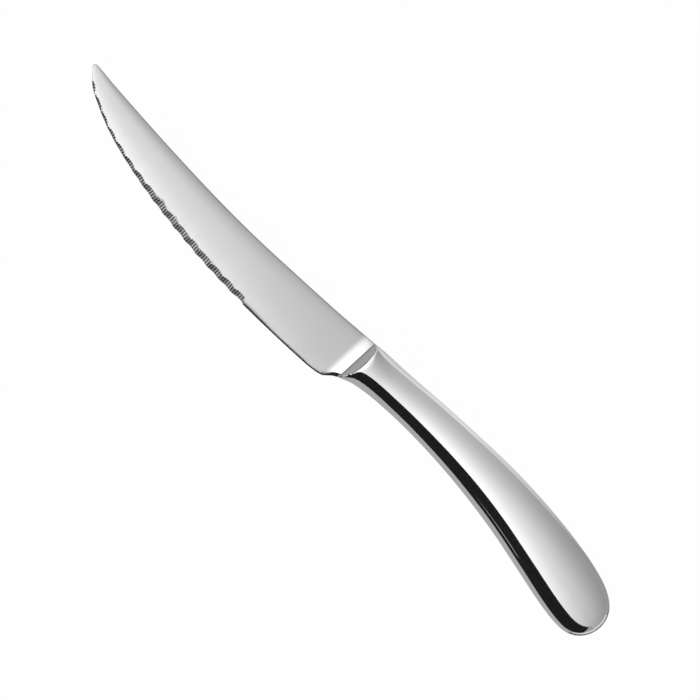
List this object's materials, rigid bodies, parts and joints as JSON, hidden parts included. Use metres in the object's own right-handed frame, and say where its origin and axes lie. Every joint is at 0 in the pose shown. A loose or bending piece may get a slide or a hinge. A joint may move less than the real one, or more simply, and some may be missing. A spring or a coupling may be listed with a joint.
{
  "type": "steak knife",
  "caption": "Steak knife with a serrated, upswept steel blade and a curved hollow handle of polished steel.",
  "frame": {"origin": "under the middle of the knife's box, on the surface that it lies on", "axes": "+X from the blade's tip to the pommel, +Y towards the spine, +Z out of the serrated left face"},
  "size_m": [0.24, 0.029, 0.014],
  "materials": {
    "blade_steel": "satin",
    "polished_steel": "polished",
    "braze": "polished",
    "filler": "matte"
  },
  "bodies": {
    "root": {"blade": "blade_steel", "handle_shell_left": "polished_steel", "handle_shell_right": "polished_steel", "seam_braze": "braze", "handle_filler": "filler"}
  },
  "joints": []
}
